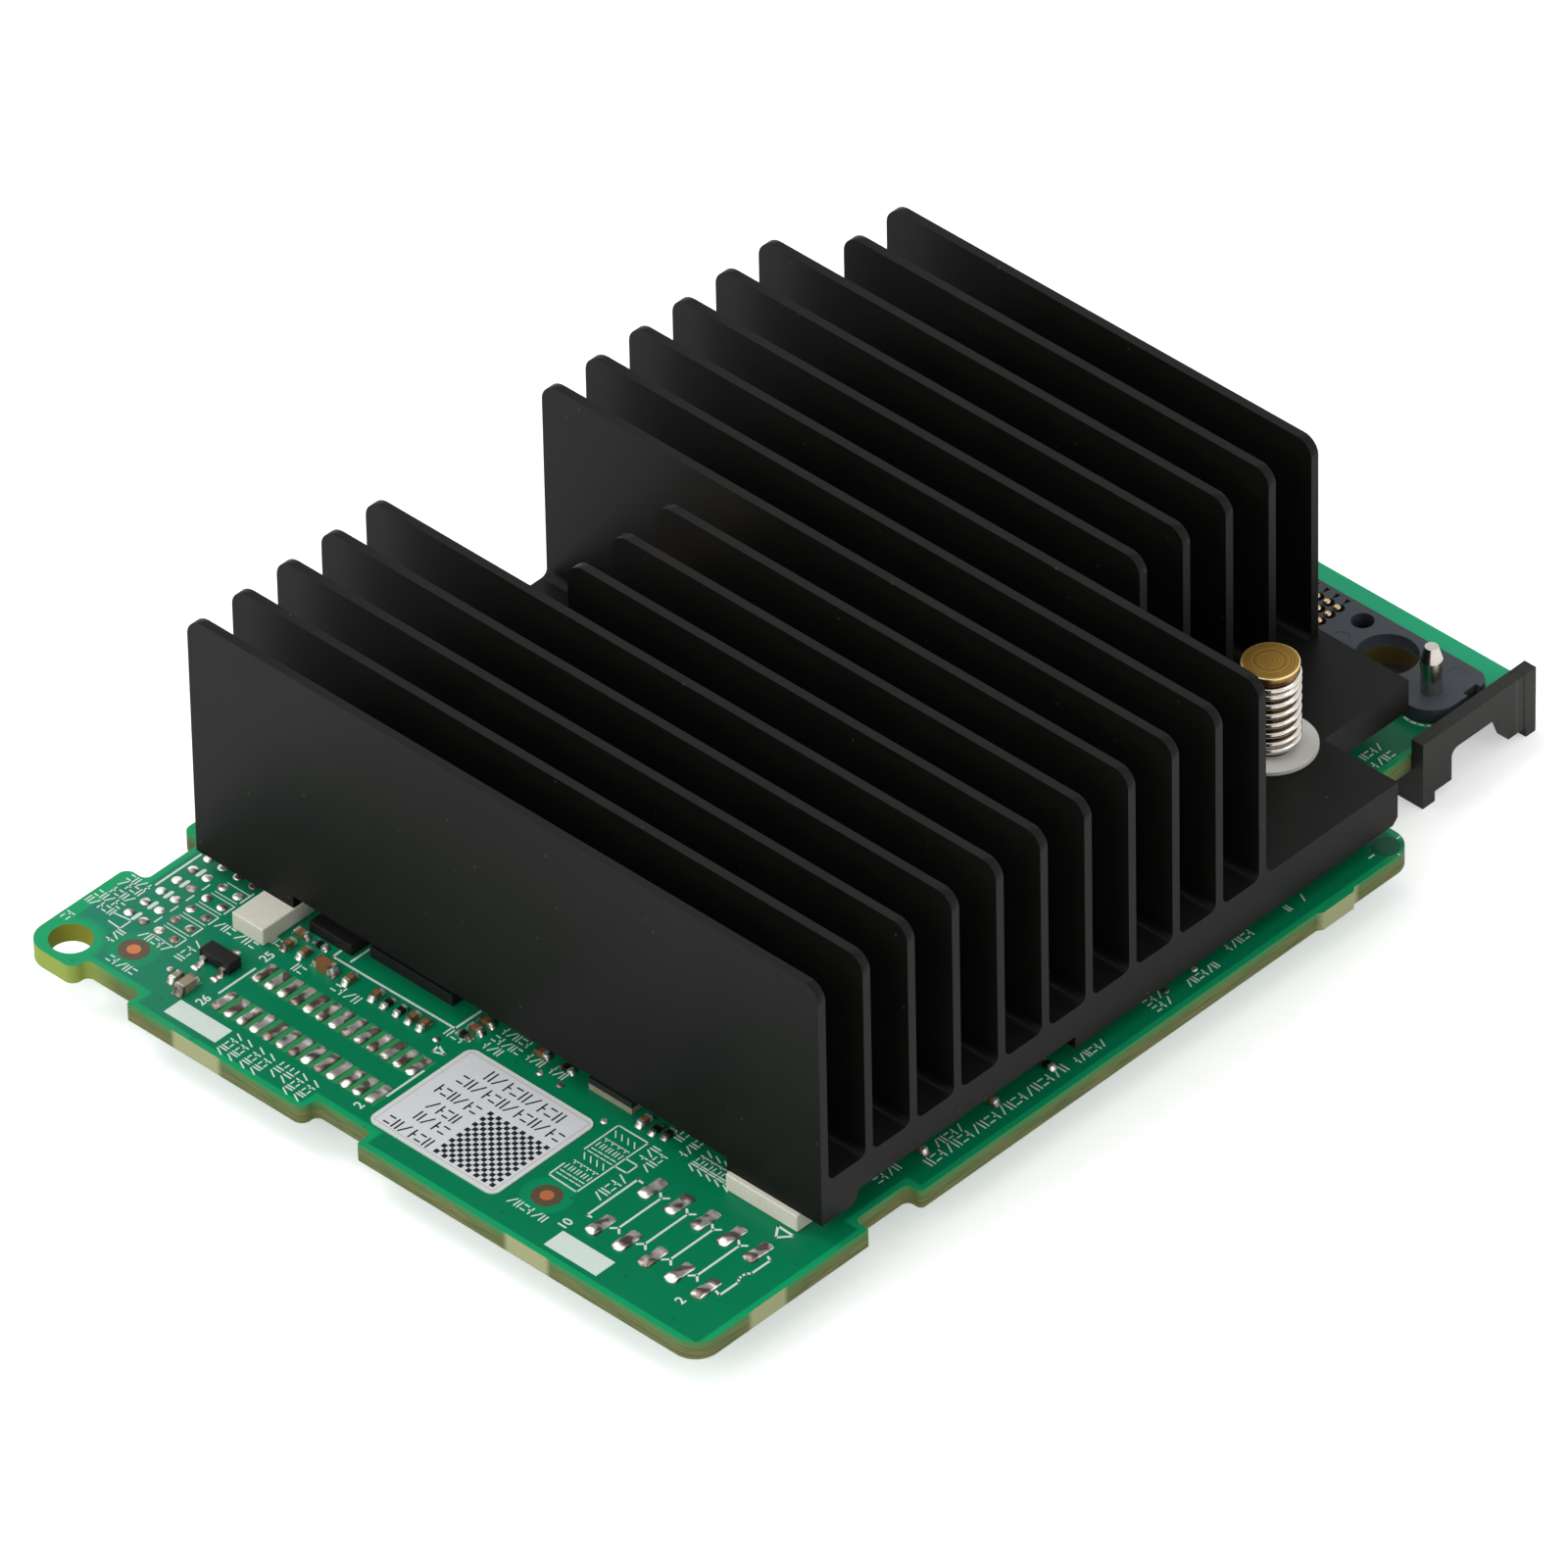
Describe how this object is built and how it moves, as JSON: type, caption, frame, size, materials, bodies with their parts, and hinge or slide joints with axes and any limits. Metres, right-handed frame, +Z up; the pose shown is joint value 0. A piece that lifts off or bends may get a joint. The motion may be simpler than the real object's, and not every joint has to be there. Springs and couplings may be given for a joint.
{
  "type": "host bus adapter",
  "caption": "Mezzanine host bus adapter: green board, black finned heat sink on sprung push pins, contact field with guide pins and bracket on a tongue.",
  "frame": {"origin": "middle of the card's box in plan, at the height of the bracket's feet, its lowest point", "axes": "+X from the free end of the board to the connector's tongue, across the fins; +Y along the fins, from the front push pin's edge to the back; +Z up from the board to the fin tips"},
  "size_m": [0.094, 0.0666, 0.0276],
  "materials": {
    "board_laminate": "green solder mask, satin, over a tan laminate",
    "black_anodised": "black anodised, matte",
    "brass": "turned, slightly tarnished",
    "spring_steel": "drawn wire, bright",
    "pin_steel": "ground and tumbled",
    "white_nylon": "smooth",
    "white_foam": "soft, matte",
    "connector_plastic": "moulded, fine grain",
    "bracket_plastic": "moulded, matte black",
    "gold_plate": "gold plated, bright",
    "solder": "tinned, glossy",
    "chip_mould": "moulded, fine grain",
    "pad_silicone": "soft grey",
    "capacitor_ceramic": "brown, satin",
    "resistor_ceramic": "black glaze",
    "label_paper": "white, satin"
  },
  "bodies": {
    "root": {"circuit_board": "board_laminate", "heat_sink": "black_anodised", "push_pin_front": "brass", "push_pin_rear": "brass", "spring_front": "spring_steel", "spring_rear": "spring_steel", "washer_front": "white_nylon", "washer_rear": "white_nylon", "connector_frame": "connector_plastic", "connector_contacts": "gold_plate", "connector_bracket": "bracket_plastic", "alignment_pin_front": "pin_steel", "alignment_pin_rear": "pin_steel", "controller_chip": "chip_mould", "thermal_pad": "pad_silicone", "memory_chip": "chip_mould", "flash_chip": "chip_mould", "oscillator": "chip_mould", "power_inductors": "chip_mould", "transistor_body": "chip_mould", "transistor_legs": "solder", "capacitor_bodies": "capacitor_ceramic", "resistor_bodies": "resistor_ceramic", "chip_part_caps": "solder", "fine_header_pads": "solder", "coarse_header_pads": "solder", "lamp_pads": "solder", "label": "label_paper", "spacer_front": "white_foam", "spacer_rear": "white_foam"}
  },
  "joints": []
}
